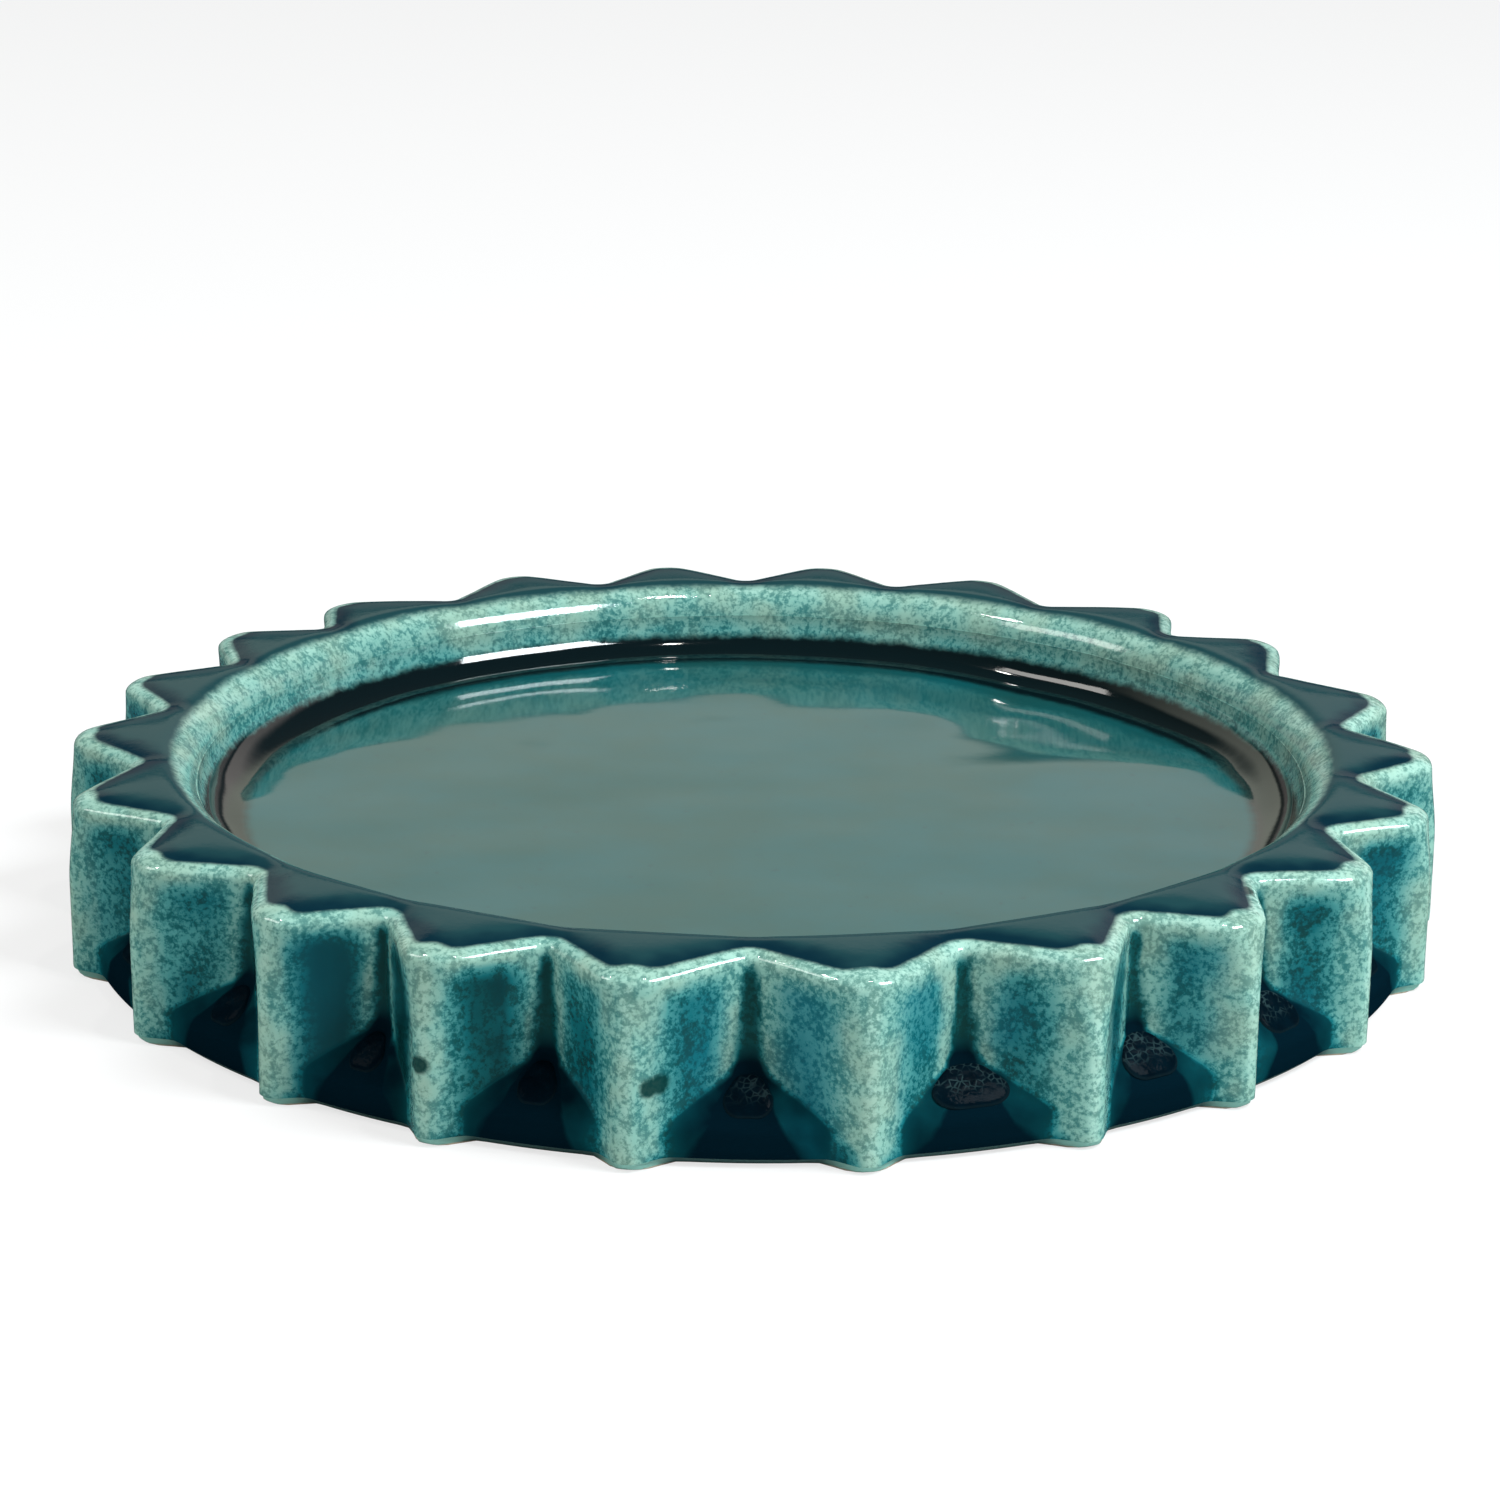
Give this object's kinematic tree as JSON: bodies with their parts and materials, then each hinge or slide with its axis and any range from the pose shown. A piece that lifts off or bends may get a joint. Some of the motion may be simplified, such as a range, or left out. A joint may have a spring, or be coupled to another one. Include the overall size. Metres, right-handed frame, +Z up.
{
  "type": "plant saucer",
  "caption": "Round shallow glazed ceramic plant saucer with a ring of V-shaped teeth round its outside and a flat-floored well that holds a pot and its drained water.",
  "frame": {"origin": "on the ground at the middle of the foot ring, on the saucer's axis", "axes": "+Z up along the saucer's axis, -Y towards the front, +X to the right"},
  "size_m": [0.2019, 0.2001, 0.027],
  "materials": {
    "fired_clay": "matte",
    "teal_glaze": "gloss",
    "floor_glaze": "gloss",
    "corner_glaze": "gloss",
    "pool_glaze": "gloss"
  },
  "bodies": {
    "root": {"clay_body": "fired_clay", "outer_glaze": "teal_glaze", "well_floor_glaze": "floor_glaze", "well_corner_glaze": "corner_glaze", "valley_glaze_pools": "pool_glaze"}
  },
  "joints": []
}
